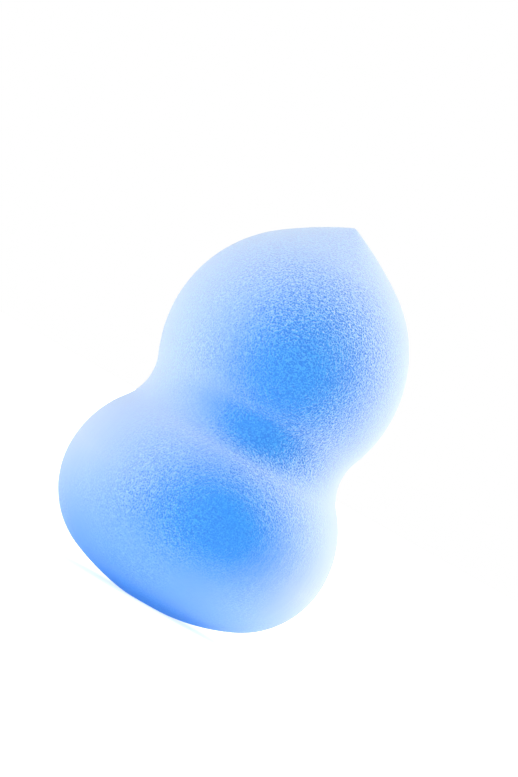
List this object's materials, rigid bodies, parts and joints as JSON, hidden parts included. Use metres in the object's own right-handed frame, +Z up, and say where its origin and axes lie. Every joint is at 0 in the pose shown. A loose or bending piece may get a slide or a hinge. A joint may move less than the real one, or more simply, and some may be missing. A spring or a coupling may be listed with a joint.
{
  "type": "make-up sponge",
  "caption": "Gourd-shaped foam make-up sponge: a rounded lower lobe, a soft waist to pinch and a smaller upper lobe with a pointed tip.",
  "frame": {"origin": "middle of the flat foot that the sponge stands on", "axes": "+Z up the axis of revolution, from the foot to the tip; X and Y are alike, because the form is round"},
  "size_m": [0.0406, 0.0406, 0.06],
  "materials": {
    "foam": "matte pale-blue open-cell foam with fine pores"
  },
  "bodies": {
    "root": {"sponge_body": "foam"}
  },
  "joints": []
}
